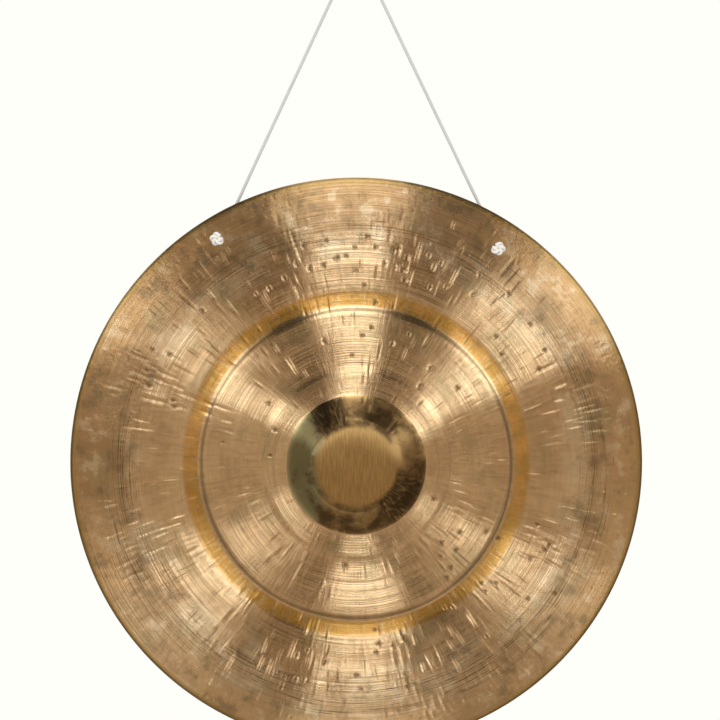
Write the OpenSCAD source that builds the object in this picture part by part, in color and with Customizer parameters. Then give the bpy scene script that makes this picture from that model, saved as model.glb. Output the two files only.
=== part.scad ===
// Bossed bronze gong, hung by one knotted cord from a screw hook.
// Origin: middle of the collar's top face, where the hook meets its beam or ceiling.
// +Z is up, the face of the gong looks along -Y, and +X is to the right of a person facing it.
// All sizes are millimetres and all angles are degrees.

/* [Gong] */
// Diameter over the turned rim
gong_d = 600; // [596:1:604]
// Thickness of the bronze sheet
sheet_t = 2; // [1.6:0.1:2.4]
// How far the turned rim reaches behind the face
rim_depth = 12; // [11:0.5:13]
// Outer radius of the bend between face and rim
rim_bend_r = 5; // [4:0.5:7]
// Height of the boss in front of the face's plane
boss_h = 34; // [30:1:38]
// Radius of the flat top of the boss
boss_top_r = 38; // [34:1:42]
// Radius of the crease at the foot of the boss
boss_foot_r = 72; // [70:1:74]
// Radius of the step between the inner field and the channel
step_r = 163; // [160:1:166]
// Depth of that step
step_h = 3.4; // [2:0.2:4.4]
// Lean at which the gong's weight hangs straight below the hook
lean = 3.5; // [3:0.1:4]

/* [Cord] */
// Diameter of the cord
cord_d = 3.4; // [3:0.1:3.6]
// Diameter of the two holes that the cord passes through
hole_d = 6; // [5:0.2:7]
// Diameter of a stopper knot
knot_d = 14.8; // [14:0.2:16]
// How far a stopper knot stands off the face
knot_h = 7.6; // [7.4:0.2:9]

/* [Hook] */
// Diameter of the rod in the bow, and of the plain shank
rod_d = 10; // [9:0.2:10]
// Radius of the bow, to the middle of the rod
bow_r = 16; // [15:0.5:16]
// Angle above the horizontal at which the bow's open end stops
bow_tip_angle = 30; // [0:5:40]
// Diameter of the collar
collar_d = 28; // [22:1:34]
// Thickness of the collar
collar_h = 4; // [3:0.5:5]
// Length of the plain shank above the collar
shank_l = 14; // [10:1:20]
// Length of the threaded part, without its point
thread_l = 38; // [30:1:50]

/* [Hidden] */
$fn = 96;

// The gong's own frame has its origin on the axis, in the plane of the face.
gong_r = gong_d / 2;
gong_drop = 575;          // from the collar's top face down to the middle of the gong
rim_gap = 0.5;            // between the cord and the back edge of the rim
rim_contact_up = 270;     // from the middle of the gong up to where the cord crosses the rim
rim_contact_depth = rim_depth + rim_gap + cord_d / 2;
gong_y = rim_contact_up * sin(lean) - rim_contact_depth * cos(lean);
left_hole = [-145, 236];  // X and Z in the gong's own frame
right_hole = [148, 226];
hole_reach = 20;          // a drill this long clears the sheet on both sides
left_seat_y = -1.7;       // where each knot's back lies, in the gong's own frame
right_seat_y = -2;

// Front of the sheet: radius, then height in front of the face's plane.
boss_stations = [
    [0, boss_h],
    [boss_top_r * 0.55, boss_h - 0.3],
    [boss_top_r, boss_h - 1.6],
    [boss_top_r + 10, boss_h - 5],
    [boss_top_r + 18, boss_h - 11.5],
    [boss_foot_r - 6, 12.5],
    [boss_foot_r - 1, 8.8]
];
ring_stations = [
    [boss_foot_r + 2, 8],
    [96, 7.2],
    [101, 5.8],
    [108, 5.4]
];
field_stations = [
    [step_r - 6, 1.2 + step_h],
    [step_r - 3, 0.6 + step_h],
    [step_r + 2, 1.4],
    [step_r + 7, 0.7],
    [177, 0.8],
    [184, 1.9],
    [200, 2.6],
    [235, 2.9],
    [281, 1.2],
    [gong_r - rim_bend_r, 0]
];
stations = concat(boss_stations, ring_stations, field_stations);
cuts_per_station = 3;
bend_cuts = 6;
lip_cuts = 6;
rim_taper = 3;            // how far the rim closes in towards its back edge

// Hook: the stem bends aside and runs into the bow, whose lowest point is under the stem.
// It thins in two small shoulders, and each thinner stretch starts inside the thicker one.
rod_r = rod_d / 2;
shoulder = 0.4;
neck_r = rod_r + shoulder;
stem_r = neck_r + shoulder;
tip_ball_r = rod_r + 0.6;
lap = 1.4;                // how far one stretch of rod starts inside the next
stem_bend_r = 10;
bow_z = -34;
stem_end_z = bow_z + sqrt(pow(bow_r + stem_bend_r, 2) - pow(stem_bend_r, 2));
stem_bend_angle = acos(stem_bend_r / (bow_r + stem_bend_r));
thread_r = rod_r - 0.4;
point_l = 10;
point_r = 0.8;
collar_edge_h = 1.5;

// Route of the cord, from the left knot over the hook to the right knot.
// The rim points are where the cord bends over the back edge of the rim.
left_rim_point = [-126, 0, -304];
right_rim_point = [130, 0, -306];
left_end_route = [
    [-145, -13.6, -339.5], [-145, -11, -339.4], [-144.8, -8.9, -339], [-144.2, -6.9, -337.9],
    [-143.4, -5.4, -336.4], [-142.3, -4.6, -334.4], [-138.5, -3.2, -327.3],
    [-132, -1.4, -315.2], left_rim_point
];
over_hook_route = [
    left_rim_point, [-111, 0, -271.8], [-96, 0, -239.5], [-81, 0, -207.2], [-66, 0, -175],
    [-51, 0, -142.7], [-36, 0, -110.4], [-21, 0, -78.2], [-6.5, 0, -47], [-5.1, 0, -44.9],
    [-2.8, 0, -43.3], [0, 0, -42.8], [2.8, 0, -43.3], [5.1, 0, -44.9], [6.5, 0, -46.9],
    [22, 0, -79.4], [37.5, 0, -111.9], [53, 0, -144.5], [68.5, 0, -177], [84, 0, -209.5],
    [99.5, 0, -242], [115, 0, -274.5], right_rim_point
];
right_end_route = [
    [148, -13.3, -349.5], [148, -11, -349.4], [147.8, -8.9, -349], [147.3, -6.9, -347.8],
    [146.5, -5.4, -346.2], [145.5, -4.6, -344.2], [141.7, -3.3, -336.2],
    [135.6, -1.5, -321.5], right_rim_point
];
cord_sides = 8;
bend_gap = 1;             // each solid of the cord stops this far from the rim point
left_end_across = [0.88, 0, -0.47];
right_end_across = [0.92, 0, 0.38];
over_hook_across = [0, 1, 0];

// ---- curves ----

function unit(v) = v / norm(v);

// Slope of the line between stations i and i + 1.
function rise(i) = (stations[i + 1][1] - stations[i][1]) / (stations[i + 1][0] - stations[i][0]);

// Slope of the smooth curve at station i: level at a crest or a hollow, never overshooting.
function slope_at(i) =
    i == 0 ? 0 :
    i == len(stations) - 1 ? rise(i - 1) :
    rise(i - 1) * rise(i) <= 0 ? 0 :
    2 * rise(i - 1) * rise(i) / (rise(i - 1) + rise(i));

// Point of the front outline, a share s of the way from station i to the next.
function front_point(i, s) =
    let (a = stations[i], b = stations[i + 1], run = b[0] - a[0])
    [a[0] + s * run,
     (2 * pow(s, 3) - 3 * s * s + 1) * a[1] + (pow(s, 3) - 2 * s * s + s) * run * slope_at(i)
     + (3 * s * s - 2 * pow(s, 3)) * b[1] + (pow(s, 3) - s * s) * run * slope_at(i + 1)];

front = [
    for (i = [0:len(stations) - 2], k = [0:cuts_per_station - 1]) front_point(i, k / cuts_per_station)
];
bend = [
    for (k = [0:bend_cuts])
        let (a = 90 * k / bend_cuts)
        [gong_r - rim_bend_r + rim_bend_r * sin(a), rim_bend_r * (cos(a) - 1)]
];
rim_end = [gong_r - (rim_depth - rim_bend_r) * tan(rim_taper), -rim_depth];
outside = concat(front, bend, [rim_end]);

// Unit vector out of the sheet at point i of its outside.
function out_of(i) =
    let (along = outside[min(i + 1, len(outside) - 1)] - outside[max(i - 1, 0)])
    i == 0 ? [0, 1] : unit([-along[1], along[0]]);

// Back of the sheet, from the rim to the axis, and the round lip that joins it to the front.
inside = [for (i = [len(outside) - 2:-1:0]) outside[i] - sheet_t * out_of(i)];
lip_r = sheet_t / 2;
lip = [
    for (k = [0:lip_cuts])
        let (a = 180 * k / lip_cuts)
        rim_end + lip_r * [cos(a) - 1, 1 - sin(a)]
];

// The route with its end at the rim point drawn back by bend_gap.
function drawn_back(from, to) = to + bend_gap * unit(from - to);

// Direction of the cord at point i of a route.
function heading(route, i) = unit(route[min(i + 1, len(route) - 1)] - route[max(i - 1, 0)]);

// Ring of points round the cord at point i of a route that lies in one plane.
function cord_ring(route, i, across) =
    let (side = unit(across), up = cross(heading(route, i), side))
    [for (k = [0:cord_sides - 1])
        let (a = 360 * k / cord_sides)
        route[i] + cord_d / 2 * (cos(a) * side + sin(a) * up)];

// ---- helpers ----

// Places children, drawn in the gong's own frame, where the gong hangs.
module on_gong() {
    translate([0, gong_y, -gong_drop]) rotate([lean, 0, 0]) children();
}

// Closed tube along a route, with a flat end at its first and last point.
module cord_tube(route, across) {
    rings = len(route);
    points = [for (i = [0:rings - 1]) each cord_ring(route, i, across)];
    sides = [
        for (i = [0:rings - 2], k = [0:cord_sides - 1])
            let (a = i * cord_sides + k, b = i * cord_sides + (k + 1) % cord_sides)
            [a, b, b + cord_sides, a + cord_sides]
    ];
    first_end = [for (k = [cord_sides - 1:-1:0]) k];
    last_end = [for (k = [0:cord_sides - 1]) (rings - 1) * cord_sides + k];
    polyhedron(points = points, faces = concat([first_end], sides, [last_end]));
}

// Stopper knot, seated on the front of the sheet over a hole.
module stopper_knot(hole, seat_y) {
    fold_r = (knot_h - 0.4) / 2;
    on_gong() translate([hole[0], seat_y - knot_h / 2, hole[1]]) rotate([90, 0, 0]) {
        rotate_extrude() translate([knot_d / 2 - fold_r, 0]) circle(r = fold_r);
        cylinder(h = knot_h, d = cord_d * 1.8, center = true);
    }
}

// Part of a ring of rod in the YZ plane, from one angle to another, counted from +Y to +Z.
module rod_arc(bend_r, rod_radius, from, to) {
    rotate([90, 0, 90]) rotate([0, 0, from])
        rotate_extrude(angle = to - from) translate([bend_r, 0]) circle(r = rod_radius);
}

// Angle that a length takes up along a bend.
function turn(length, bend_r) = length / bend_r * 180 / PI;

// ---- the pieces ----

// One sheet of bronze: boss, ring, inner field, channel, outer field and turned rim.
module gong_plate() {
    color("peru") on_gong() difference() {
        rotate([90, 0, 0]) rotate_extrude() polygon(concat(front, bend, lip, inside));
        for (hole = [left_hole, right_hole])
            translate([hole[0], 0, hole[1]]) rotate([90, 0, 0])
                cylinder(h = hole_reach, d = hole_d, center = true);
    }
}

// The cord between the two places where it leaves the rim.
module hanging_cord() {
    last = len(over_hook_route) - 1;
    route = concat(
        [drawn_back(over_hook_route[1], left_rim_point)],
        [for (i = [1:last - 1]) over_hook_route[i]],
        [drawn_back(over_hook_route[last - 1], right_rim_point)]
    );
    color("gainsboro") cord_tube(route, over_hook_across);
}

// An end of the cord, from its knot through the hole and up behind the face to the rim.
module cord_end(route, across) {
    last = len(route) - 1;
    short_route = concat(
        [for (i = [0:last - 1]) route[i]],
        [drawn_back(route[last - 1], route[last])]
    );
    color("gainsboro") cord_tube(short_route, across);
}

module left_cord_end() {
    cord_end(left_end_route, left_end_across);
}

module right_cord_end() {
    cord_end(right_end_route, right_end_across);
}

module left_knot() {
    color("whitesmoke") stopper_knot(left_hole, left_seat_y);
}

module right_knot() {
    color("whitesmoke") stopper_knot(right_hole, right_seat_y);
}

// Screw hook: point, thread, plain shank, collar, stem, neck, bow and ball end.
module hook() {
    color("silver") {
        translate([0, 0, shank_l + thread_l]) cylinder(h = point_l, r1 = thread_r, r2 = point_r);
        translate([0, 0, shank_l]) cylinder(h = thread_l, r = thread_r);
        cylinder(h = shank_l, r = rod_r);
        translate([0, 0, -collar_edge_h]) cylinder(h = collar_edge_h, d = collar_d);
        translate([0, 0, -collar_h])
            cylinder(h = collar_h - collar_edge_h, r1 = stem_r + 3, d2 = collar_d);
        translate([0, 0, stem_end_z]) cylinder(h = -stem_end_z, r = stem_r);
        translate([0, -stem_bend_r, stem_end_z])
            rod_arc(stem_bend_r, neck_r, -stem_bend_angle, turn(lap, stem_bend_r));
        translate([0, 0, bow_z]) {
            rod_arc(bow_r, rod_r, 180 - stem_bend_angle - turn(lap, bow_r), 360 + bow_tip_angle);
            rotate([bow_tip_angle, 0, 0]) translate([0, bow_r, 0]) sphere(r = tip_ball_r);
        }
    }
}

hook();
hanging_cord();
gong_plate();
left_cord_end();
right_cord_end();
left_knot();
right_knot();
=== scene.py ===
import math

import bmesh
import bpy
import numpy as np
from mathutils import Matrix, Vector


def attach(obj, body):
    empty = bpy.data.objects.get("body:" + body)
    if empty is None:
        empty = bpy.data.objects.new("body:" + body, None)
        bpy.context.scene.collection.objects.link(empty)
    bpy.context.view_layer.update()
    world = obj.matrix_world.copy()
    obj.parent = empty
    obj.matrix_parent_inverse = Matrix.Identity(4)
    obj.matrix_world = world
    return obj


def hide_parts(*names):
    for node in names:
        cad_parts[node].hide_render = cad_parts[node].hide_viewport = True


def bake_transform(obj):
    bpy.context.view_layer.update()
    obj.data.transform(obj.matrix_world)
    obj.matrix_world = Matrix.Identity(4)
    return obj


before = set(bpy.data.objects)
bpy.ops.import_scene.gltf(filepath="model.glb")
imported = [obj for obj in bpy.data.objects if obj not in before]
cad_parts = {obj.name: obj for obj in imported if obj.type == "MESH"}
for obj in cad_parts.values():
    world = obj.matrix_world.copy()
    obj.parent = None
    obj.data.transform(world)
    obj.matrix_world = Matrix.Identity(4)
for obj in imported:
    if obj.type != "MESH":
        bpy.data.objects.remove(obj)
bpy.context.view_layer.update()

# A bossed bronze gong, hung by one knotted cord from a screw hook.
# Metres, +Z up, the face of the gong looks along -Y. The gong's own frame has its origin on the
# axis in the plane of the face, its Y axis along the gong's axis and its front towards -Y.

MM = 0.001
SEED = 41
TAU = 2 * math.pi

# ---- sizes shared with part.scad, in metres ----

GONG_R = 0.300
SHEET_T = 0.002
RIM_DEPTH = 0.012
RIM_BEND_R = 0.005
RIM_TAPER = math.radians(3)
LEAN = math.radians(3.5)
GONG_DROP = 0.575
CORD_D = 0.0034
HOLE_D = 0.006
KNOT_D = 0.0148
KNOT_H = 0.0076
LEFT_HOLE = (-0.145, 0.236)
RIGHT_HOLE = (0.148, 0.226)
LEFT_SEAT_Y = -0.0017
RIGHT_SEAT_Y = -0.0020
SHANK_R = 0.005
BOW_R = 0.016
BOW_TIP = math.radians(30)
BOW_Z = -0.034
STEM_BEND_R = 0.010
COLLAR_R = 0.014
COLLAR_H = 0.004
SHANK_L = 0.014
THREAD_L = 0.038
POINT_L = 0.010

# The face's steps, in millimetres.
BOSS_H = 34
BOSS_TOP_R = 38
BOSS_FOOT_R = 72
STEP_R = 163
STEP_H = 3.4

# The route of the cord, from the left knot over the hook to the right knot, in millimetres.
ROUTE = [
    (-145, -13.6, -339.5), (-145, -11, -339.4), (-144.8, -8.9, -339), (-144.2, -6.9, -337.9),
    (-143.4, -5.4, -336.4), (-142.3, -4.6, -334.4), (-138.5, -3.2, -327.3),
    (-132, -1.4, -315.2), (-126, 0, -304),
    (-111, 0, -271.8), (-96, 0, -239.5), (-81, 0, -207.2), (-66, 0, -175), (-51, 0, -142.7),
    (-36, 0, -110.4), (-21, 0, -78.2), (-6.5, 0, -47), (-5.1, 0, -44.9), (-2.8, 0, -43.3),
    (0, 0, -42.8), (2.8, 0, -43.3), (5.1, 0, -44.9), (6.5, 0, -46.9),
    (22, 0, -79.4), (37.5, 0, -111.9), (53, 0, -144.5), (68.5, 0, -177), (84, 0, -209.5),
    (99.5, 0, -242), (115, 0, -274.5), (130, 0, -306),
    (135.6, -1.5, -321.5), (141.7, -3.3, -336.2), (145.5, -4.6, -344.2), (146.5, -5.4, -346.2),
    (147.3, -6.9, -347.8), (147.8, -8.9, -349), (148, -11, -349.4), (148, -13.3, -349.5),
]

# ---- where the gong hangs ----

# The cord's middle line crosses the back of the rim this far above the gong's middle and behind its face.
RIM_CONTACT_UP = 0.270
CORD_GAP = 0.0005
RIM_CONTACT_DEPTH = RIM_DEPTH + CORD_GAP + CORD_D / 2
GONG_Y = RIM_CONTACT_UP * math.sin(LEAN) - RIM_CONTACT_DEPTH * math.cos(LEAN)
ON_GONG = Matrix.Translation((0, GONG_Y, -GONG_DROP)) @ Matrix.Rotation(LEAN, 4, "X")


def collection_link(obj):
    bpy.context.scene.collection.objects.link(obj)
    return obj


def mesh_object(name, points, faces, smooth=True):
    mesh = bpy.data.meshes.new(name)
    mesh.from_pydata([tuple(p) for p in points], [], [tuple(f) for f in faces])
    mesh.validate()
    mesh.update()
    if smooth:
        mesh.polygons.foreach_set("use_smooth", [True] * len(mesh.polygons))
    return collection_link(bpy.data.objects.new(name, mesh))


# ---- camera ----

CAMERA_DISTANCE = 3.6
CAMERA_LENS = 171.8
CAMERA_RIGHT = 0.004
CAMERA_UP = 0.109
SENSOR_WIDTH = 36
VIEW_DEPTH = 60


def make_camera():
    camera = bpy.data.cameras.new("camera")
    camera.lens = CAMERA_LENS
    camera.sensor_width = SENSOR_WIDTH
    camera.clip_end = VIEW_DEPTH
    obj = collection_link(bpy.data.objects.new("camera", camera))
    obj.location = (CAMERA_RIGHT, GONG_Y - CAMERA_DISTANCE, -GONG_DROP + CAMERA_UP)
    obj.rotation_euler = (math.pi / 2, 0, 0)
    bpy.context.scene.camera = obj


make_camera()

# ---- tubes ----


def smooth_route(points, steps):
    """Points on a centripetal Catmull-Rom curve through the given ones, steps to a stretch."""
    pts = np.array(points, float)
    pts = np.vstack([2 * pts[0] - pts[1], pts, 2 * pts[-1] - pts[-2]])
    out = []
    for i in range(1, len(pts) - 2):
        p0, p1, p2, p3 = pts[i - 1:i + 3]
        knots = [0.0]
        for a, b in ((p0, p1), (p1, p2), (p2, p3)):
            knots.append(knots[-1] + math.sqrt(np.linalg.norm(b - a)))
        t0, t1, t2, t3 = knots
        for t in np.linspace(t1, t2, steps, endpoint=False):
            a1 = (t1 - t) / (t1 - t0) * p0 + (t - t0) / (t1 - t0) * p1
            a2 = (t2 - t) / (t2 - t1) * p1 + (t - t1) / (t2 - t1) * p2
            a3 = (t3 - t) / (t3 - t2) * p2 + (t - t2) / (t3 - t2) * p3
            b1 = (t2 - t) / (t2 - t0) * a1 + (t - t0) / (t2 - t0) * a2
            b2 = (t3 - t) / (t3 - t1) * a2 + (t - t1) / (t3 - t1) * a3
            out.append((t2 - t) / (t2 - t1) * b1 + (t - t1) / (t2 - t1) * b2)
    out.append(pts[-2])
    return np.array(out)


def even_route(points, spacing):
    """The same line with points at an even spacing."""
    pts = np.array(points, float)
    along = np.concatenate([[0], np.cumsum(np.linalg.norm(np.diff(pts, axis=0), axis=1))])
    count = max(2, int(round(along[-1] / spacing)) + 1)
    wanted = np.linspace(0, along[-1], count)
    line = np.stack([np.interp(wanted, along, pts[:, k]) for k in range(3)], axis=1)
    return line, along[-1]


def frames_along(line):
    """Unit tangent and two side vectors at each point, carried along without twist."""
    tangent = np.gradient(line, axis=0)
    tangent /= np.linalg.norm(tangent, axis=1)[:, None]
    start = np.cross(tangent[0], [0.3, 0.2, 1.0])
    side = [start / np.linalg.norm(start)]
    for t in tangent[1:]:
        s = side[-1] - np.dot(side[-1], t) * t
        side.append(s / np.linalg.norm(s))
    side = np.array(side)
    return tangent, side, np.cross(tangent, side)


BRAID_SIDES = 20
BRAID_SPACING = 0.00055
BRAID_PITCH = 0.0095
BRAID_DEPTH = 0.055
BRAID_STRANDS = 8
STRAND_FULLNESS = 0.7
STRAND_FLOOR = 0.45


def braid_height(angle, along):
    """How far a round braid's surface stands out, from 0 to 1.

    Strands that wind to the left and to the right cross over and under each other."""
    half = BRAID_STRANDS / 2
    turn = TAU * along / BRAID_PITCH
    one = np.cos(half * (angle + turn) / 2)
    other = np.cos(half * (angle - turn) / 2)
    a, b = np.abs(one) ** STRAND_FULLNESS, np.abs(other) ** STRAND_FULLNESS
    upper = np.where(one * other > 0, a, b)
    return ((1 - STRAND_FLOOR) * upper + STRAND_FLOOR) * np.maximum(a, b)


def braided_tube(name, line, radius, tip=0.0):
    """Closed tube with a braided surface. tip is the length over which its last end rounds off."""
    sides = BRAID_SIDES
    tangent, side, up = frames_along(line)
    step = np.concatenate([[0], np.cumsum(np.linalg.norm(np.diff(line, axis=0), axis=1))])
    angle = np.arange(sides) * TAU / sides
    grid_s, grid_a = np.meshgrid(step, angle, indexing="ij")
    r = radius * (1 - BRAID_DEPTH * 2 * (1 - braid_height(grid_a, grid_s)))
    if tip:
        left = np.clip((step[-1] - grid_s) / tip, 0, 1)
        r = r * np.sqrt(np.clip(1 - (1 - left) ** 2, 0.02, 1))
    pts = (line[:, None, :] + r[..., None] * (np.cos(grid_a)[..., None] * side[:, None, :]
                                              + np.sin(grid_a)[..., None] * up[:, None, :]))
    rings = len(line)
    pts = pts.reshape(-1, 3)
    faces = []
    for i in range(rings - 1):
        a = i * sides
        for k in range(sides):
            b = (k + 1) % sides
            faces.append((a + k, a + sides + k, a + sides + b, a + b))
    faces.append(tuple(range(sides)))
    faces.append(tuple(range(rings * sides - 1, (rings - 1) * sides - 1, -1)))
    return mesh_object(name, pts, faces)


# ---- the cord and its knots ----

ROUTE_STEPS = 8
cord_line, cord_length = even_route(smooth_route(np.array(ROUTE) * MM, ROUTE_STEPS), BRAID_SPACING)
cord = braided_tube("white_cord", cord_line, CORD_D / 2)
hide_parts("hanging_cord", "left_cord_end", "right_cord_end")
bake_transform(cord)

KNOT_START = 0.35
KNOT_END = 2 * TAU - 0.25
KNOT_WAVES = 2.5
KNOT_SWING = 0.34
KNOT_OVAL = 1.08
KNOT_TIP = 0.0012


def knot_line(turn, flip):
    """A double overhand knot pulled tight: two turns round its middle that cross five times.

    turn sets where it starts, and flip is 1 or -1 for the way it winds."""
    t = np.linspace(KNOT_START, KNOT_END, 320)
    reach = (KNOT_D - CORD_D) / 2
    swing = KNOT_SWING * reach
    radius = reach - swing + swing * np.cos(KNOT_WAVES * t)
    rise = (KNOT_H - CORD_D) / 2
    x, z = radius * np.cos(t * flip + turn), radius * np.sin(t * flip + turn)
    return np.stack([x * KNOT_OVAL, rise * np.sin(KNOT_WAVES * t), z], axis=1)


def make_knot(name, node, hole, seat_y, turn, flip):
    line, _ = even_route(knot_line(turn, flip), BRAID_SPACING)
    line = line + np.array([hole[0], seat_y - KNOT_H / 2, hole[1]])
    obj = braided_tube(name, line, CORD_D / 2, tip=KNOT_TIP)
    obj.data.transform(ON_GONG)
    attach(obj, "gong")
    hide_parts(node)
    return obj


left_knot = make_knot("left_stopper_knot", "left_knot", LEFT_HOLE, LEFT_SEAT_Y, 0.5, 1)
right_knot = make_knot("right_stopper_knot", "right_knot", RIGHT_HOLE, RIGHT_SEAT_Y, 2.4, -1)

# ---- the gong's sheet ----

# Points on the face, as (radius, height in front of its plane), in millimetres.
FLAT_R = GONG_R / MM - RIM_BEND_R / MM
STATIONS = [
    (0, BOSS_H), (BOSS_TOP_R * 0.55, BOSS_H - 0.3), (BOSS_TOP_R, BOSS_H - 1.6),
    (BOSS_TOP_R + 10, BOSS_H - 5), (BOSS_TOP_R + 18, BOSS_H - 11.5), (BOSS_FOOT_R - 6, 12.5),
    (BOSS_FOOT_R - 1, 8.8), (BOSS_FOOT_R + 2, 8), (96, 7.2), (101, 5.8), (108, 5.4),
    (STEP_R - 6, 1.2 + STEP_H), (STEP_R - 3, 0.6 + STEP_H), (STEP_R + 2, 1.4), (STEP_R + 7, 0.7),
    (177, 0.8), (184, 1.9), (200, 2.6), (235, 2.9), (281, 1.2), (FLAT_R, 0),
]


def station_slopes():
    """Slope at each station of the smooth curve through them, which never overshoots."""
    pts = np.array(STATIONS, float)
    rise = np.diff(pts[:, 1]) / np.diff(pts[:, 0])
    slopes = [0.0]
    for a, b in zip(rise[:-1], rise[1:]):
        slopes.append(0.0 if a * b <= 0 else 2 * a * b / (a + b))
    slopes.append(rise[-1])
    return pts, np.array(slopes)


PROFILE, SLOPES = station_slopes()


def front_height(r):
    """Height of the face in front of its plane at radius r, both in millimetres."""
    r = np.clip(np.asarray(r, float), 0, PROFILE[-1, 0])
    i = np.clip(np.searchsorted(PROFILE[:, 0], r, side="right") - 1, 0, len(PROFILE) - 2)
    run = PROFILE[i + 1, 0] - PROFILE[i, 0]
    s = (r - PROFILE[i, 0]) / run
    return ((2 * s**3 - 3 * s**2 + 1) * PROFILE[i, 1] + (s**3 - 2 * s**2 + s) * run * SLOPES[i]
            + (3 * s**2 - 2 * s**3) * PROFILE[i + 1, 1] + (s**3 - s**2) * run * SLOPES[i + 1])


# Rings of points over the face and then over the back, as (first radius, last radius, spacing, points to a
# ring), in millimetres. Spacing is closest at the step and the boss.
COARSE, MEDIUM, FINE = 360, 720, 1440
HUB_R = 3
FACE_RINGS = [(HUB_R, 40, 3.0, COARSE), (40, 73, 1.4, MEDIUM), (73, 158, 1.8, MEDIUM),
              (158, 168, 1.0, FINE), (168, FLAT_R, 1.8, FINE)]
BACK_RINGS = [(FLAT_R - 3, 168, 3.4, MEDIUM), (168, 158, 2.0, MEDIUM), (158, 73, 3.4, MEDIUM),
              (73, 40, 2.2, COARSE), (40, HUB_R, 4.0, COARSE)]
# The angle round the rim's bend over which the hammering fades.
BEND_FADE = 1.6


def ring_radii(stretches):
    """Each ring's radius and how many points it has."""
    for start, stop, step, count in stretches:
        for r in np.linspace(start, stop, int(round(abs(stop - start) / step)), endpoint=False):
            yield r, count


def rim_rings():
    """Rings round the turned rim: its bend, its outside, its lip, its inside and the inside of the bend."""
    rim_r, t, bend, end_y = GONG_R / MM, SHEET_T / MM, RIM_BEND_R / MM, RIM_DEPTH / MM
    draw_in = (bend - end_y) * math.tan(RIM_TAPER)
    run, lip, inner = end_y - bend - t / 2, t / 2, bend - t
    rings = []
    for a in np.linspace(0, math.pi / 2, 8):
        rings.append((FLAT_R + bend * math.sin(a), bend * (1 - math.cos(a)), FINE, 1 - a / BEND_FADE))
    for s in (0.25, 0.5, 0.75):
        rings.append((rim_r + draw_in * s, bend + run * s, FINE, 0.0))
    for a in np.linspace(0, math.pi, 7):
        out, back = lip * math.cos(a) - lip, lip * math.sin(a) - lip
        rings.append((rim_r + draw_in + out, end_y + back, FINE, 0.0))
    for s in (0.75, 0.5, 0.25):
        rings.append((rim_r - t + draw_in * s, bend + run * s, MEDIUM, 0.0))
    for a in np.linspace(math.pi / 2, 0, 5):
        rings.append((FLAT_R + inner * math.sin(a), bend - inner * math.cos(a), MEDIUM, -a / BEND_FADE))
    return rings


def outline():
    """Rings of the sheet from the middle of the face round the rim to the middle of the back.

    Each is (radius, depth behind the face's plane, points, side), in millimetres. side is 1 on the
    face, 0 on the rim and -1 on the back."""
    t = SHEET_T / MM
    rings = [(r, -float(front_height(r)), count, 1.0) for r, count in ring_radii(FACE_RINGS)]
    rings += rim_rings()
    for r, count in ring_radii(BACK_RINGS):
        slope = float(front_height(r + 0.5) - front_height(r - 0.5))
        n = math.hypot(1, slope)
        rings.append((r + t * slope / n, -float(front_height(r)) + t / n, count, -1.0))
    rings.append((HUB_R, -float(front_height(HUB_R)) + t, COARSE, -1.0))
    return rings


# Hammer strokes: (how many, nearest and farthest radius, length, width, depth), in millimetres.
STROKES = [
    (520, 186, 268, 19, 1.55, 0.10),
    (70, 166, 186, 13, 1.4, 0.08),
    (150, 104, 157, 15, 1.45, 0.09),
    (40, 76, 96, 9, 1.3, 0.05),
    (70, 50, 70, 8, 2.0, 0.12),
    (110, 256, 288, 8, 1.3, 0.15),
]
STROKE_SIZES = (0.55, 1.25)
STROKE_WIDTHS = (0.7, 1.3)
STROKE_LEAN = 0.05
# Dimples: (how many, nearest and farthest radius), in millimetres. They crowd round a few clock positions,
# which are angles from +X towards +Z.
DIMPLES = [(74, 184, 250), (20, 106, 156), (6, 160, 182), (3, 80, 95)]
DIMPLE_R = 2.4
DIMPLE_DEPTH = 0.28
DIMPLE_SIZES = (0.75, 1.1)
DIMPLE_PLACES = [1.55, 1.55, 2.75, 5.6, 4.7, 0.9]
DIMPLE_SCATTER = 0.24
# Slow waves that the hammer leaves: (how many, length, height), in millimetres.
WAVES = [(9, 140, 0.30), (12, 45, 0.05)]
# The waves calm down this near the edge and the middle, and the marks fade towards MARKS_END.
CALM_EDGE = 20
CALM_MIDDLE = 60
MARKS_END = 292
MARKS_FADE = 8
# How deep the marks are on the back, next to those on the face.
BACK_MARKS = 0.75


def slow_waves(rng, angles, radii, count, length):
    """A few slow waves over the sheet, each with a random direction, between about -1 and 1."""
    x, z = radii * np.cos(angles), radii * np.sin(angles)
    out = np.zeros_like(x)
    for _ in range(count):
        d, phase, k = rng.uniform(0, TAU), rng.uniform(0, TAU), rng.uniform(0.6, 1.6) / length
        out += np.sin((x * math.cos(d) + z * math.sin(d)) * k * TAU + phase)
    return out / math.sqrt(count)


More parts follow.
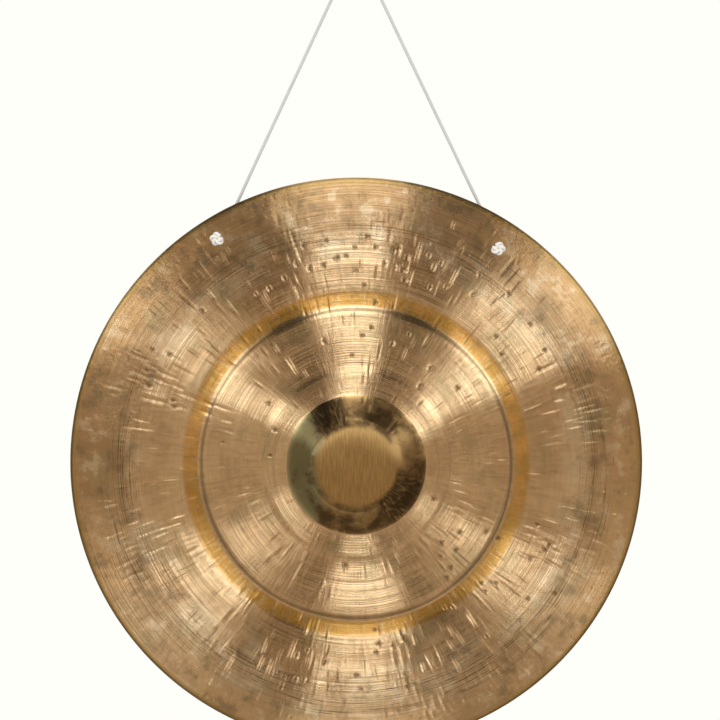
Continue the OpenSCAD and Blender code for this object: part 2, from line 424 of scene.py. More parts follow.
def hammered(radius, angle, start, counts):
    """Height that hammering takes off the face at each point, and how much of a dimple is there."""
    rng = np.random.default_rng(SEED)
    cut = np.zeros_like(radius)
    pit = np.zeros_like(radius)
    ring_r = np.array([radius[s] for s in start])

    def window(r0, reach):
        hit = np.nonzero(np.abs(ring_r - r0) < reach)[0]
        return slice(start[hit[0]], start[hit[-1]] + counts[hit[-1]]) if len(hit) else slice(0, 0)

    def around(part, r0, a0):
        off = (angle[part] - a0 + math.pi) % TAU - math.pi
        return radius[part] - r0, off * np.maximum(r0, 1)

    for count, near, far, length, width, depth in STROKES:
        for _ in range(count):
            r0 = math.sqrt(rng.uniform(near**2, far**2))
            a0 = rng.uniform(0, TAU)
            size = rng.uniform(*STROKE_SIZES)
            deep = depth * rng.uniform(0.15, 1.0) ** 1.5 * 1.6
            lean = rng.normal(0, STROKE_LEAN)
            half = length * size / 2
            part = window(r0, half * 2.2)
            along, across = around(part, r0, a0)
            across = across - lean * along
            x = across / (width * rng.uniform(*STROKE_WIDTHS))
            shape = np.exp(-np.abs(along / half) ** 3) * (1 - 0.45 * x**2) * np.exp(-x**2 / 2)
            cut[part] += deep * shape
    for count, near, far in DIMPLES:
        for _ in range(count):
            r0 = math.sqrt(rng.uniform(near**2, far**2))
            a0 = rng.choice(DIMPLE_PLACES) + rng.normal(0, DIMPLE_SCATTER)
            part = window(r0, DIMPLE_R * 3)
            along, across = around(part, r0, a0)
            from_middle = np.hypot(along, across) / (DIMPLE_R * rng.uniform(*DIMPLE_SIZES))
            bowl = np.exp(-from_middle**4)
            cut[part] += DIMPLE_DEPTH * bowl
            pit[part] = np.maximum(pit[part], bowl)
    return cut, pit


def faces_between(a, n, b, m):
    """Faces from a ring of n points that starts at index a to the next, of m points from index b.

    m is n, twice n or half n."""
    if n == m:
        return [(a + k, a + (k + 1) % n, b + (k + 1) % n, b + k) for k in range(n)]
    faces = []
    for k in range(min(n, m)):
        k2, nx = 2 * k, (k + 1) % min(n, m)
        if m > n:
            faces += [(a + k, b + k2 + 1, b + k2), (a + k, a + nx, b + k2 + 1),
                      (a + nx, b + (k2 + 2) % m, b + k2 + 1)]
        else:
            faces += [(b + k, a + k2, a + k2 + 1), (b + k, a + k2 + 1, b + nx),
                      (b + nx, a + k2 + 1, a + (k2 + 2) % n)]
    return faces


def make_gong():
    rings = outline()
    counts = [ring[2] for ring in rings]
    start = np.concatenate([[0], np.cumsum(counts)[:-1]]).astype(int)
    radius, depth, side = (np.concatenate([np.full(ring[2], ring[k]) for ring in rings]) for k in (0, 1, 3))
    angle = np.concatenate([np.arange(n) * TAU / n for n in counts])

    split = next(i for i, ring in enumerate(rings) if ring[3] <= 0)
    edge = int(start[split])
    cut, pit = np.zeros_like(radius), np.zeros_like(radius)
    cut[:edge], pit[:edge] = hammered(radius[:edge], angle[:edge], start[:split], counts[:split])
    back_cut, _ = hammered(radius[edge:], angle[edge:], start[split:] - edge, counts[split:])
    on_back = side[edge:] < -0.9
    cut[edge:][on_back] = BACK_MARKS * back_cut[on_back]
    fade = np.where(np.abs(side) > 0.9, 1.0, np.abs(side))
    fade = fade * np.clip((MARKS_END - radius) / MARKS_FADE, 0.15, 1)

    rng = np.random.default_rng(SEED + 1)
    slow = sum(slow_waves(rng, angle, radius, count, length) * height for count, length, height in WAVES)
    calm = np.clip((GONG_R / MM - radius) / CALM_EDGE, 0, 1) * np.clip(radius / CALM_MIDDLE, 0, 1)
    y = depth + (cut * fade + slow * calm * np.abs(side))
    points = np.stack([radius * np.cos(angle), y, radius * np.sin(angle)], axis=1) * MM

    faces = []
    for i in range(len(rings) - 1):
        faces += faces_between(int(start[i]), counts[i], int(start[i + 1]), counts[i + 1])
    front_mid, back_mid, last = len(points), len(points) + 1, int(start[-1])
    points = np.vstack([points, [0, points[0][1], 0], [0, points[last][1], 0]])
    faces += [(front_mid, (k + 1) % counts[0], k) for k in range(counts[0])]
    faces += [(back_mid, last + k, last + (k + 1) % counts[-1]) for k in range(counts[-1])]
    obj = mesh_object("bronze_gong", points, faces)
    behind = np.append(np.clip(-side, 0, 1), [0, 1])
    for name, values in (("pit", np.append(pit, [0, 0])), ("behind", behind)):
        layer = obj.data.attributes.new(name, "FLOAT", "POINT")
        layer.data.foreach_set("value", values.astype(np.float32))
    return obj


PIERCE_REACH = 2.2 * HOLE_D / 2 + 2 * MM


def pierce(obj, holes):
    """Round holes right through the sheet, at (x, z) in the gong's own frame."""
    bm = bmesh.new()
    bm.from_mesh(obj.data)
    for x, z in holes:
        def off(co):
            return math.hypot(co.x - x, co.z - z)

        near = [e for e in bm.edges if max(off(v.co) for v in e.verts) < PIERCE_REACH]
        bmesh.ops.subdivide_edges(bm, edges=near, cuts=3, use_grid_fill=True)
        inside = [f for f in bm.faces if off(f.calc_center_median()) < HOLE_D / 2]
        bmesh.ops.delete(bm, geom=inside, context="FACES")
        rim = [e for e in bm.edges if e.is_boundary and off(e.verts[0].co) < 2 * HOLE_D]
        for vert in {v for e in rim for v in e.verts}:
            scale = HOLE_D / 2 / off(vert.co)
            vert.co.x, vert.co.z = x + (vert.co.x - x) * scale, z + (vert.co.z - z) * scale
        bmesh.ops.bridge_loops(bm, edges=rim)
    bm.to_mesh(obj.data)
    bm.free()


gong = make_gong()
pierce(gong, (LEFT_HOLE, RIGHT_HOLE))
gong.matrix_world = ON_GONG
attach(gong, "gong")
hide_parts("gong_plate")

# ---- the hook ----

# Its finer sizes, in metres. THREAD_WIDTH is a share of the pitch.
STEM_R = 0.0058
TIP_BALL_R = 0.0056
STEM_END_Z = -0.010
THREAD_CORE_R = 0.0036
THREAD_CREST_R = 0.00485
THREAD_PITCH = 0.0032
THREAD_STEP = 0.0002
THREAD_RUN_OUT = 0.003
THREAD_WIDTH = 0.22
POINT_R = 0.0004
COLLAR_BEVEL = 0.0006
TIP_SWELL = 0.004
SMALLEST_R = 0.00005
HOOK_SIDES = 48
DOWN = -math.pi / 2


def thread_rings():
    """Rings down the point and the thread, whose ridge dies out above the shank."""
    top = SHANK_L + THREAD_L + POINT_L
    rings = []
    for z in np.arange(top, SHANK_L, -THREAD_STEP):
        point = min(1.0, (top - z) / POINT_L)
        run_out = min(1.0, (z - SHANK_L) / THREAD_RUN_OUT)
        core = POINT_R + (THREAD_CORE_R - POINT_R) * point**0.8
        core = SHANK_R + (core - SHANK_R) * run_out
        ridge = (THREAD_CREST_R - THREAD_CORE_R) * run_out * point**0.5
        rings.append((0.0, z, DOWN, core, ridge))
    return rings


def collar_rings():
    """Rings down the shank, over the bevelled collar and down to the stem."""
    bevel, cut = COLLAR_BEVEL, COLLAR_BEVEL * 0.3
    turned = [(SHANK_L, SHANK_R), (0.004, SHANK_R), (0.0008, SHANK_R), (0.0002, SHANK_R + 0.0003),
              (0.0, SHANK_R + 0.0009), (0.0, COLLAR_R - bevel), (-cut, COLLAR_R - cut),
              (-bevel, COLLAR_R), (bevel - COLLAR_H, COLLAR_R),
              (cut - COLLAR_H, COLLAR_R - cut), (-COLLAR_H, COLLAR_R - bevel),
              (-COLLAR_H, STEM_R + 0.0009), (-COLLAR_H - 0.0003, STEM_R + 0.0002),
              (-COLLAR_H - 0.001, STEM_R)]
    return [(0.0, z, DOWN, r, 0.0) for z, r in turned]


def bow_rings():
    """Rings round the stem's bend and the bow to its rounded tip."""
    rings = []
    bend = math.acos(STEM_BEND_R / (STEM_BEND_R + BOW_R))
    for a in np.linspace(0, bend, 20):
        radius = STEM_R + (SHANK_R - STEM_R) * a / bend
        rings.append((STEM_BEND_R * (math.cos(a) - 1), STEM_END_Z - STEM_BEND_R * math.sin(a),
                      DOWN - a, radius, 0.0))
    for a in np.linspace(math.pi - bend, TAU + BOW_TIP, 120)[1:]:
        left = (TAU + BOW_TIP - a) * BOW_R
        swell = math.exp(-(left / TIP_SWELL) ** 2)
        radius = SHANK_R + (TIP_BALL_R - SHANK_R) * swell
        rings.append((BOW_R * math.cos(a), BOW_Z + BOW_R * math.sin(a), a + math.pi / 2, radius, 0.0))
    y, z, turn = rings[-1][:3]
    for a in np.linspace(0, math.pi / 2, 12)[1:]:
        out = TIP_BALL_R * math.sin(a)
        radius = max(TIP_BALL_R * math.cos(a), SMALLEST_R)
        rings.append((y + out * math.cos(turn), z + out * math.sin(turn), turn, radius, 0.0))
    return rings


def make_hook():
    """One bent and threaded rod.

    A ring is (y, z, direction in the YZ plane, radius, height of the thread)."""
    rings = thread_rings() + collar_rings() + bow_rings()
    angles = np.arange(HOOK_SIDES) * TAU / HOOK_SIDES
    points = []
    for y, z, turn, radius, thread in rings:
        phase = (z / THREAD_PITCH - angles / TAU) % 1.0
        r = radius + thread * np.clip(1 - np.abs(phase - 0.5) / THREAD_WIDTH, 0, 1)
        x, out = r * np.cos(angles), r * np.sin(angles)
        points.append(np.stack([x, y - out * math.sin(turn), z + out * math.cos(turn)], axis=1))
    points = np.concatenate(points)
    faces = []
    for i in range(len(rings) - 1):
        a = i * HOOK_SIDES
        for k in range(HOOK_SIDES):
            nx = (k + 1) % HOOK_SIDES
            faces.append((a + k, a + nx, a + HOOK_SIDES + nx, a + HOOK_SIDES + k))
    faces.append(tuple(range(HOOK_SIDES - 1, -1, -1)))
    faces.append(tuple(range((len(rings) - 1) * HOOK_SIDES, len(rings) * HOOK_SIDES)))
    return mesh_object("screw_hook", points, faces)


hook = make_hook()
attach(hook, "hook")
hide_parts("hook")

# ---- material helpers ----


class Nodes:
    """Short calls for building a node tree."""

    def __init__(self, tree):
        self.tree = tree

    def add(self, kind, **settings):
        node = self.tree.nodes.new(kind)
        for key, value in settings.items():
            setattr(node, key, value)
        return node

    def put(self, socket, value):
        if isinstance(value, bpy.types.NodeSocket):
            self.tree.links.new(value, socket)
        elif value is not None:
            socket.default_value = value

    def math(self, operation, a, b=None, c=None, clamp=False):
        node = self.add("ShaderNodeMath", operation=operation, use_clamp=clamp)
        for socket, value in zip(node.inputs, (a, b, c)):
            self.put(socket, value)
        return node.outputs[0]

    def times(self, first, *others):
        for other in others:
            first = self.math("MULTIPLY", first, other)
        return first

    def plus(self, first, *others):
        for other in others:
            first = self.math("ADD", first, other)
        return first

    def split(self, vector):
        """The vector's x, y and z."""
        node = self.add("ShaderNodeSeparateXYZ")
        self.put(node.inputs[0], vector)
        return node.outputs

    def vector(self, operation, a, b=None, scale=None):
        node = self.add("ShaderNodeVectorMath", operation=operation)
        self.put(node.inputs[0], a)
        self.put(node.inputs[1], b)
        if scale is not None:
            self.put(node.inputs["Scale"], scale)
        return node.outputs["Value"] if operation in ("LENGTH", "DOT_PRODUCT") else node.outputs[0]

    def combine(self, x, y, z):
        node = self.add("ShaderNodeCombineXYZ")
        for socket, value in zip(node.inputs, (x, y, z)):
            self.put(socket, value)
        return node.outputs[0]

    def noise(self, vector, scale, detail, roughness):
        node = self.add("ShaderNodeTexNoise")
        self.put(node.inputs["Vector"], vector)
        node.inputs["Scale"].default_value = scale
        node.inputs["Detail"].default_value = detail
        node.inputs["Roughness"].default_value = roughness
        return node.outputs["Fac"]

    def ramp(self, fac, stops):
        """A colour ramp. stops are (place, colour), with places between 0 and 1."""
        node = self.add("ShaderNodeValToRGB")
        items = node.color_ramp.elements
        while len(items) < len(stops):
            items.new(0.5)
        for item, (place, value) in zip(items, stops):
            item.position = place
            item.color = (*value, 1)
        self.put(node.inputs[0], fac)
        return node.outputs[0]

    def span(self, value, low, high, to_low=0.0, to_high=1.0):
        """to_low where the value is low, to_high where it is high, and a smooth step between."""
        node = self.add("ShaderNodeMapRange", interpolation_type="SMOOTHSTEP")
        for socket, item in zip(node.inputs, (value, low, high, to_low, to_high)):
            self.put(socket, item)
        return node.outputs[0]

    def mix(self, fac, a, b):
        """Colour a where fac is 0 and colour b where it is 1."""
        node = self.add("ShaderNodeMix", data_type="RGBA")
        self.put(node.inputs["Factor"], fac)
        self.put(node.inputs[6], (*a, 1) if isinstance(a, tuple) else a)
        self.put(node.inputs[7], (*b, 1) if isinstance(b, tuple) else b)
        return node.outputs[2]

    def bump(self, height, strength, distance, normal=None):
        node = self.add("ShaderNodeBump")
        node.inputs["Strength"].default_value = strength
        node.inputs["Distance"].default_value = distance
        self.put(node.inputs["Height"], height)
        self.put(node.inputs["Normal"], normal)
        return node.outputs[0]


def new_material(name):
    material = bpy.data.materials.new(name)
    material.use_nodes = True
    tree = material.node_tree
    tree.nodes.clear()
    n = Nodes(tree)
    output = n.add("ShaderNodeOutputMaterial")
    shader = n.add("ShaderNodeBsdfPrincipled")
    tree.links.new(shader.outputs[0], output.inputs[0])
    return material, n, shader


# ---- bronze material ----

BRONZE = (0.86, 0.63, 0.37)
BROWN = (0.55, 0.355, 0.185)
OLIVE = (0.50, 0.41, 0.22)
PALE = (0.90, 0.74, 0.50)
GOLDEN = (0.74, 0.47, 0.22)
AMBER = (0.80, 0.455, 0.125)
AMBER_DARK = (0.60, 0.345, 0.085)
OXIDE = (0.20, 0.125, 0.055)
WALL_BROWN = (0.62, 0.40, 0.17)
VERDIGRIS = (0.40, 0.37, 0.19)
# The next colour is painted shade on the boss's wall.
PAINTED_WALL_SHADE = (0.085, 0.055, 0.028)
SMOKE = (0.27, 0.205, 0.115)
RIM_OCHRE = (0.56, 0.37, 0.13)
TOP_BROWN = (0.74, 0.475, 0.19)
TOP_DARK = (0.53, 0.325, 0.125)

# Radii in millimetres between which each finish on the sheet fades in, or fades in and out again.
FIELD_DULLS = (178, 196)
PALE_RING = (206, 222, 236, 252)
BLOTCHES = (214, 236)
MARGIN_AGES = (226, 252)
MARGIN_ROUGHENS = (226, 246)
MARGIN_DENTS = (228, 246)
LINES_CROWD = (228, 240, 262, 274)
GOLDEN_EDGE = (262, 276)
SCRIBED_RINGS = [(246.3, 246.9, 247.2, 247.8), (249.2, 249.6, 249.8, 250.2)]
INNER_RING = (84, 86, 87, 89)
AMBER_STARTS = (165, 168)
AMBER_ENDS = (184.5, 178.5)
STEP_SHADE = (158.5, 161.5, 162.5, 166.5)
GROOVES_START = (72, 76)
WALL_COLOURS = (74, 72.5)
WALL_ROUGHENS = (74, 70)
TOP_COLOURS = (52, 45)
TOP_ROUGHENS = (52, 44)
TOP_BRUSHED = (50, 46)
RIM_BAND = (292.6, 295.2)
# The next radii are where the rim's edge is painted darker, as shade.
RIM_EDGE_SHADE = (297.4, 299.4)
# Where the boss's wall is green, in metres along X, and the ways out from the axis in which its wall is
# painted dark as shade.
GREEN_SIDE = (-0.026, -0.046)
WALL_SHADE_ABOVE = (-0.47, 0.0, 0.88)
WALL_SHADE_BELOW = (0.80, 0.0, -0.60)


class Sheet:
    """What the bronze's colour, gloss and grooves share: places on the sheet and noises over it."""

    def __init__(self, n):
        self.n = n
        self.place = n.add("ShaderNodeTexCoord").outputs["Object"]
        self.x, _, self.z = n.split(self.place)
        flat = n.combine(self.x, 0.0, self.z)
        self.mm = n.times(n.vector("LENGTH", flat), 1 / MM)
        self.outward = n.vector("NORMALIZE", flat)
        self.out_x, _, self.out_z = n.split(self.outward)
        self.streaks = self.round_noise(52.0, 0.040, 4.0, 0.60)
        self.fine_streaks = self.round_noise(170.0, 0.085, 3.0, 0.6, 7.0)
        self.lathe = self.round_noise(1.3, 0.62, 4.0, 0.80)
        self.scuffs = self.round_noise(24.0, 0.12, 3.0, 0.6, 3.0)
        self.clouds = n.noise(self.place, 9.0, 4.0, 0.6)
        self.hues = n.noise(n.vector("ADD", self.place, (3.1, 0.0, 1.7)), 22.0, 4.0, 0.65)
        self.patches = n.noise(self.place, 34.0, 4.0, 0.6)
        self.mottle = n.noise(self.place, 85.0, 5.0, 0.65)

    def round_noise(self, turns, per_mm, detail, roughness, offset=0.0):
        """Noise in polar cells: turns is cells to a radian, per_mm is cells to a millimetre of radius."""
        n = self.n
        where = n.combine(n.times(self.out_x, turns), n.times(self.out_z, turns),
                          n.math("MULTIPLY_ADD", self.mm, per_mm, offset))
        return n.noise(where, 1.0, detail, roughness)

    def ring(self, inner, full, full_end, outer):
        """1 between the radii full and full_end, falling to 0 at inner and outer."""
        return self.n.times(self.n.span(self.mm, inner, full), self.n.span(self.mm, outer, full_end))


def tarnished(n, sheet):
    """Bronze under a thin brown and olive tarnish, which thickens outwards; on the margin it is also
    browner towards the top.
    """
    margin_browning = n.times(n.span(sheet.mm, *MARGIN_AGES), n.span(sheet.z, -0.12, 0.10, 0.10, 0.62))
    tarnish = n.plus(
        n.times(n.span(sheet.clouds, 0.38, 0.64), 0.50),
        n.times(n.span(sheet.streaks, 0.42, 0.66), 0.26),
        n.times(n.span(sheet.mottle, 0.5, 0.72), 0.20),
        n.span(sheet.mm, *FIELD_DULLS, 0.0, 0.12),
    )
    colour = n.mix(n.math("ADD", tarnish, margin_browning, clamp=True), BRONZE, BROWN)
    return n.mix(n.times(n.span(sheet.hues, 0.48, 0.66), 0.50), colour, OLIVE)


def outer_patches(n, sheet, colour):
    """Worn pale patches inside the turned margin, smoky and pale blotches on it, and its golden edge."""
    pale = n.times(sheet.ring(*PALE_RING), n.span(sheet.hues, 0.40, 0.60))
    colour = n.mix(n.times(pale, 0.45), colour, PALE)
    golden = n.times(n.span(sheet.mm, *GOLDEN_EDGE), n.span(sheet.clouds, 0.62, 0.42))
    colour = n.mix(n.times(golden, 0.6), colour, GOLDEN)
    blotch = n.noise(n.vector("ADD", sheet.place, (0.0, 0.0, 5.3)), 34.0, 5.0, 0.64)
    outer = n.span(sheet.mm, *BLOTCHES)
    colour = n.mix(n.times(outer, n.span(blotch, 0.50, 0.66, 0.0, 0.62)), colour, SMOKE)
    return n.mix(n.times(outer, n.span(blotch, 0.47, 0.36, 0.0, 0.55)), colour, PALE)


def turned_lines(n, sheet, colour):
    """Sharp dark lathe lines, crowded on the outer field, faint ones everywhere, and scribed rings."""
    crowded = sheet.ring(*LINES_CROWD)
    here = n.span(sheet.round_noise(1.1, 0.012, 2.0, 0.5, 5.0), 0.36, 0.50)
    grooves = sheet.round_noise(0.9, 0.38, 2.0, 0.6, 31.0)
    deep = n.span(n.math("PINGPONG", n.times(grooves, 9.0), 1.0), 0.80, 0.97)
    deep = n.times(deep, n.math("MULTIPLY_ADD", n.times(crowded, here), 0.85, 0.10))
    fine = n.times(n.span(sheet.lathe, 0.52, 0.60), n.math("MULTIPLY_ADD", crowded, 0.30, 0.15))
    colour = n.mix(fine, colour, BROWN)
    colour = n.mix(deep, colour, OXIDE)
    scribed = n.plus(*(sheet.ring(*radii) for radii in SCRIBED_RINGS))
    scribed = n.times(scribed, n.span(sheet.streaks, 0.40, 0.52, 0.25, 0.8))
    colour = n.mix(n.times(scribed, n.span(sheet.clouds, 0.40, 0.55, 0.3, 1.0)), colour, OXIDE)
    return n.mix(n.times(sheet.ring(*INNER_RING), 0.25), colour, BROWN)


def channel_mask(n, sheet):
    """1 in the amber channel round the step, with worn streaks and a ragged outer edge."""
    ragged = n.math("MULTIPLY_ADD", n.math("SUBTRACT", sheet.fine_streaks, 0.5), 5.0, sheet.mm)
    amber = n.times(n.span(sheet.mm, *AMBER_STARTS), n.span(ragged, *AMBER_ENDS))
    return n.times(amber, n.span(sheet.streaks, 0.68, 0.46, 0.35, 0.95))


def channel_colour(n, sheet, amber, colour):
    """The amber channel, deeper at the bottom, and a faint dark line along the foot of the step."""
    deeper = n.math("MAXIMUM", n.span(sheet.hues, 0.42, 0.60), n.span(sheet.z, 0.03, -0.09))
    colour = n.mix(amber, colour, n.mix(deeper, AMBER, AMBER_DARK))
    shade = n.times(sheet.ring(*STEP_SHADE), n.span(sheet.hues, 0.35, 0.6, 0.0, 0.20))
    return n.mix(shade, colour, WALL_BROWN)


def boss_wall(n, sheet):
    """Brown wall of the boss, with green patches on the left, and painted shade above and at the lower
    right.
    """
    green = n.times(n.span(sheet.patches, 0.34, 0.50), n.span(sheet.x, *GREEN_SIDE))
    wall = n.mix(n.span(sheet.patches, 0.40, 0.60), OXIDE, WALL_BROWN)
    wall = n.mix(n.times(n.span(sheet.scuffs, 0.62, 0.72), 0.5), wall, TOP_BROWN)
    wall = n.mix(n.times(green, 0.85), wall, VERDIGRIS)
    # Painted shade: the wall is darkened above and at the lower right, broken up by the scuffs.
    above = n.span(n.vector("DOT_PRODUCT", sheet.outward, WALL_SHADE_ABOVE), 0.925, 0.975)
    below = n.span(n.vector("DOT_PRODUCT", sheet.outward, WALL_SHADE_BELOW), 0.84, 0.95)
    painted_shade = n.times(n.math("MAXIMUM", above, below), n.span(sheet.scuffs, 0.66, 0.44, 0.2, 0.85))
    return n.mix(painted_shade, wall, PAINTED_WALL_SHADE)


def boss_top(n, sheet):
    """Brown top of the boss, with upright brush marks."""
    upright = n.combine(n.times(sheet.x, 620.0), 0.0, n.times(sheet.z, 55.0))
    top = n.mix(n.span(n.noise(upright, 1.0, 4.0, 0.7), 0.34, 0.70), TOP_DARK, TOP_BROWN)
    return n.mix(n.times(n.span(sheet.patches, 0.45, 0.65), 0.35), top, TOP_DARK)


def fire_skin_and_rim_shade(n, sheet, colour):
    """Dark skin from the fire, left on the back, in the dimples, in small spots and along the rim, and
    painted shade on the rim's edge, lighter at the top.
    """
    pit = n.add("ShaderNodeAttribute", attribute_name="pit").outputs["Fac"]
    behind = n.add("ShaderNodeAttribute", attribute_name="behind").outputs["Fac"]
    spots = n.noise(sheet.place, 420.0, 3.0, 0.6)
    colour = n.mix(n.times(behind, n.span(sheet.clouds, 0.35, 0.65, 0.35, 0.75)), colour, WALL_BROWN)
    colour = n.mix(n.times(pit, 0.78), colour, OXIDE)
    colour = n.mix(n.times(n.span(spots, 0.68, 0.76), 0.35), colour, OXIDE)
    colour = n.mix(n.span(sheet.mm, *RIM_BAND, 0.0, 0.72), colour, RIM_OCHRE)
    # Painted shade: the rim's edge is darkened, least at the top, where the light falls on it.
    rim = n.times(n.span(sheet.mm, *RIM_EDGE_SHADE, 0.0, 0.45), n.span(sheet.out_z, 0.985, 0.90, 0.25, 1.0))
    return n.mix(rim, colour, OXIDE)


def bronze_roughness(n, sheet, amber):
    """Burnished metal, duller on the margin, in the channel and on the boss."""
    return n.plus(
        n.math("MULTIPLY_ADD", sheet.streaks, 0.06, 0.145),
        n.times(n.span(sheet.mm, *MARGIN_ROUGHENS), 0.11),
        n.times(amber, 0.09),
        n.times(n.span(sheet.mm, *WALL_ROUGHENS), 0.15),
        n.times(n.span(sheet.mm, *TOP_ROUGHENS), 0.12),
    )


def across_grooves(n, sheet):
    """The way across the grooves, in the world. They run round the axis, and upright on the boss's top."""
    across = n.add("ShaderNodeMix", data_type="VECTOR")
    n.put(across.inputs["Factor"], n.span(sheet.mm, *TOP_BRUSHED))
    n.put(across.inputs[4], sheet.outward)
    n.put(across.inputs[5], n.combine(1.0, 0.0, 0.0))
    to_world = n.add("ShaderNodeVectorTransform", vector_type="VECTOR", convert_from="OBJECT",
                     convert_to="WORLD")
    n.put(to_world.inputs[0], across.outputs[1])
    return to_world.outputs[0]


def bronze_normal(n, sheet, across):
    """Dents too small for the mesh, then turning grooves that tip the surface along the radius only."""
    margin = n.math("MULTIPLY_ADD", n.span(sheet.mm, *MARGIN_DENTS), 0.9, 0.10)
    normal = n.bump(n.times(sheet.mottle, margin), 0.18, 0.0012)
    normal = n.bump(sheet.fine_streaks, 0.25, 0.00004, normal)
    normal = n.bump(sheet.streaks, 0.045, 0.0010, normal)
    turning = sheet.round_noise(1.3, 8.0, 1.0, 0.5, 13.0)
    tip = n.plus(n.math("MULTIPLY_ADD", turning, 1.7, -0.85),
                 n.math("MULTIPLY_ADD", sheet.lathe, 0.09, -0.045))
    tip = n.times(tip, n.span(sheet.mm, *GROOVES_START))
    tipped = n.vector("ADD", normal, n.vector("SCALE", across, scale=tip))
    return n.vector("NORMALIZE", tipped)


def bronze_material():
    material, n, shader = new_material("hammered_bronze")
    sheet = Sheet(n)
    amber = channel_mask(n, sheet)
    colour = tarnished(n, sheet)
    colour = outer_patches(n, sheet, colour)
    colour = turned_lines(n, sheet, colour)
    colour = channel_colour(n, sheet, amber, colour)
    colour = n.mix(n.span(sheet.mm, *WALL_COLOURS), colour, boss_wall(n, sheet))
    ragged = n.math("MULTIPLY_ADD", sheet.patches, 14.0, sheet.mm)
    colour = n.mix(n.span(ragged, *TOP_COLOURS), colour, boss_top(n, sheet))
    n.put(shader.inputs["Base Color"], fire_skin_and_rim_shade(n, sheet, colour))
    n.put(shader.inputs["Roughness"], bronze_roughness(n, sheet, amber))
    shader.inputs["Metallic"].default_value = 1.0
    shader.inputs["Anisotropic"].default_value = 1.0
    across = across_grooves(n, sheet)
    n.put(shader.inputs["Tangent"], across)
    n.put(shader.inputs["Normal"], bronze_normal(n, sheet, across))
    return material


gong.data.materials.append(bronze_material())

# ---- cord and hook materials ----


def braid_material(name, shadow, light, grime_colour):
    """Matt braided fibre in three tones."""
    material, n, shader = new_material(name)
    place = n.add("ShaderNodeTexCoord").outputs["Object"]
    fibre = n.noise(place, 2400.0, 3.0, 0.6)
    grime = n.noise(place, 60.0, 3.0, 0.6)
    colour = n.mix(n.span(fibre, 0.3, 0.7), shadow, light)
    colour = n.mix(n.times(n.span(grime, 0.5, 0.8), 0.35), colour, grime_colour)
    n.put(shader.inputs["Base Color"], colour)
    shader.inputs["Roughness"].default_value = 0.75
    shader.inputs["Sheen Weight"].default_value = 0.25
    n.put(shader.inputs["Normal"], n.bump(fibre, 0.4, 0.0002))
    return material


# Shadow, light and grime of the braid. The knots are tied in the same cord, so their lighter tones are
# painted light and the hanging cord's greyer tones are painted shade.
SHADED_CORD_TONES = (0.58, 0.578, 0.56), (0.70, 0.698, 0.68), (0.50, 0.48, 0.43)
LIT_KNOT_TONES = (0.90, 0.86, 0.77), (0.96, 0.93, 0.86), (0.72, 0.66, 0.56)
shaded_cord_braid = braid_material("grey_white_braid", *SHADED_CORD_TONES)
lit_knot_braid = braid_material("white_braid", *LIT_KNOT_TONES)
cord.data.materials.append(shaded_cord_braid)
for piece in (left_knot, right_knot):
    piece.data.materials.append(lit_knot_braid)

ZINC = (0.80, 0.83, 0.87)
DULL_ZINC = (0.62, 0.65, 0.69)


def steel_material():
    material, n, shader = new_material("zinc_plated_steel")
    place = n.add("ShaderNodeTexCoord").outputs["Object"]
    blotch = n.noise(place, 180.0, 4.0, 0.6)
    grain = n.noise(place, 1400.0, 2.0, 0.5)
    n.put(shader.inputs["Base Color"], n.mix(n.span(blotch, 0.35, 0.7), ZINC, DULL_ZINC))
    n.put(shader.inputs["Roughness"], n.math("MULTIPLY_ADD", blotch, 0.25, 0.2))
    shader.inputs["Metallic"].default_value = 0.7
    n.put(shader.inputs["Normal"], n.bump(grain, 0.15, 0.0001))
    return material


hook.data.materials.append(steel_material())

# ---- floor, world and lights ----

FLOOR_Z = -1.35
FLOOR_HALF = 4.0
FLOOR_GREY = (0.86, 0.86, 0.84, 1)


def make_floor():
    h = FLOOR_HALF
    corners = [(x, y, FLOOR_Z) for x, y in ((-h, -h), (h, -h), (h, h), (-h, h))]
    floor = mesh_object("floor", corners, [(0, 1, 2, 3)], smooth=False)
    material, _, shader = new_material("pale_floor")
    shader.inputs["Base Color"].default_value = FLOOR_GREY
    shader.inputs["Roughness"].default_value = 0.8
    floor.data.materials.append(material)
    floor.visible_glossy = False


make_floor()

# The studio that the metal mirrors: lamps and dark screens set round the gong's mirror axis, each
# (middle, half width, softness of its edges, brightness), in degrees from +X towards +Z. Straight along the
# axis it is dim, and far off to the side the lamps fade.
SURROUND = 0.138
PANELS = [
    (34, 12, 7, 0.64),
    (66, 9, 5, 0.01),
    (92, 12.5, 2, 0.68),
    (119, 9, 5, 0.01),
    (151, 9, 9, 0.58),
]
STUDIO_POWER = 4.3
WARM = (1.0, 0.76, 0.52)
WHITE_FROM = 0.62
FAR_OFF = 0.11
FAR_OFF_GLOW = (0.020, 0.020, 0.019)
FAR_OFF_SPAN = (0.80, 0.45)
CENTRE_GLOW = (0.040, 0.031, 0.021)
CENTRE_SPAN = (0.980, 0.997)
ROOM_LIGHT = (0.86, 0.86, 0.85)
BACKDROP = (1.0, 1.0, 0.955)
MIRROR_TILT = 2 * LEAN


def lamp_colour(value):
    """White when bright, and warmer the dimmer it is."""
    white = min(1.0, value / WHITE_FROM)
    return tuple(value * (w + (1 - w) * white) for w in WARM)


def panel_stops():
    """Stops of a colour ramp over one turn, with the panels on it."""
    stops = []
    for middle, half, soft, value in PANELS:
        stops += [(middle - half - soft / 2, SURROUND), (middle - half + soft / 2, value),
                  (middle + half - soft / 2, value), (middle + half + soft / 2, SURROUND)]
    return [(angle / 360, lamp_colour(value)) for angle, value in sorted(stops)]


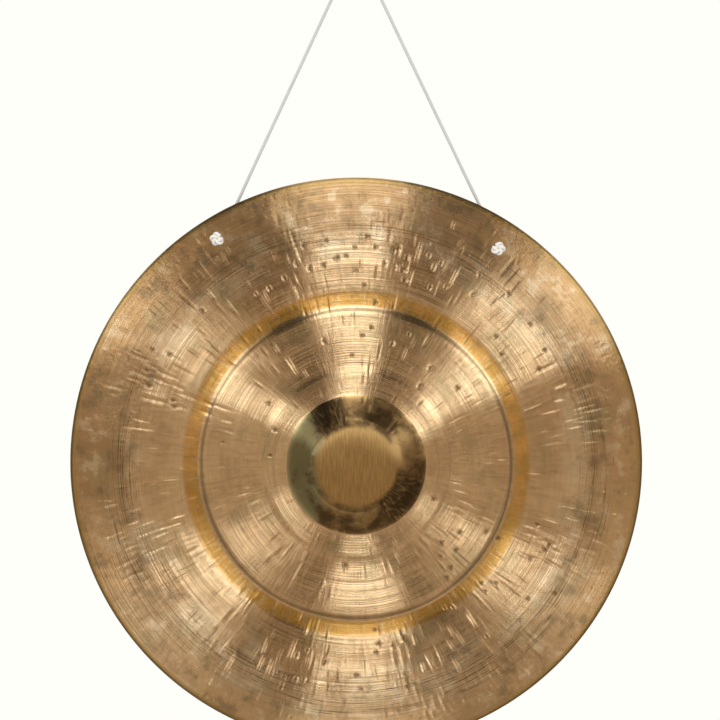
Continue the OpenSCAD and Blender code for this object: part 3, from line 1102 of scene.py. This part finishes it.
def make_world():
    world = bpy.data.worlds.new("studio")
    bpy.context.scene.world = world
    world.use_nodes = True
    world.node_tree.nodes.clear()
    n = Nodes(world.node_tree)
    direction = n.add("ShaderNodeTexCoord").outputs["Generated"]
    turned = n.add("ShaderNodeVectorRotate", rotation_type="X_AXIS")
    n.put(turned.inputs["Vector"], direction)
    turned.inputs["Angle"].default_value = -MIRROR_TILT
    x, y, z = n.split(turned.outputs[0])
    turn = n.math("FRACT", n.math("DIVIDE", n.math("ARCTAN2", z, x), TAU))
    panels = n.ramp(turn, panel_stops())
    along_axis = n.math("ABSOLUTE", y)
    mirrored = n.mix(n.span(along_axis, *CENTRE_SPAN), panels, CENTRE_GLOW)
    far_off = n.vector("ADD", n.vector("SCALE", panels, scale=FAR_OFF), FAR_OFF_GLOW)
    mirrored = n.mix(n.span(along_axis, *FAR_OFF_SPAN), mirrored, far_off)
    mirrored = n.vector("SCALE", mirrored, scale=STUDIO_POWER)
    path = n.add("ShaderNodeLightPath").outputs
    light = n.mix(path["Is Glossy Ray"], ROOM_LIGHT, mirrored)
    colour = n.mix(path["Is Camera Ray"], light, BACKDROP)
    background = n.add("ShaderNodeBackground")
    n.put(background.inputs["Color"], colour)
    output = n.add("ShaderNodeOutputWorld")
    world.node_tree.links.new(background.outputs[0], output.inputs[0])


TOP_LIGHT_AT = Vector((0, -1.6, 1.2))
TOP_LIGHT_AIM = Vector((0, 0, -0.4))
TOP_LIGHT_SIZE = 0.9
TOP_LIGHT_POWER = 12


def make_top_light():
    """A soft light above and in front of the gong, which the metal doesn't mirror."""
    data = bpy.data.lights.new("soft_top", "AREA")
    data.shape = "SQUARE"
    data.size = TOP_LIGHT_SIZE
    data.energy = TOP_LIGHT_POWER
    obj = collection_link(bpy.data.objects.new("soft_top", data))
    obj.location = TOP_LIGHT_AT
    obj.rotation_euler = (TOP_LIGHT_AIM - TOP_LIGHT_AT).to_track_quat("-Z", "Y").to_euler()
    obj.visible_glossy = False


make_world()
make_top_light()
bpy.context.scene.view_settings.view_transform = "Standard"
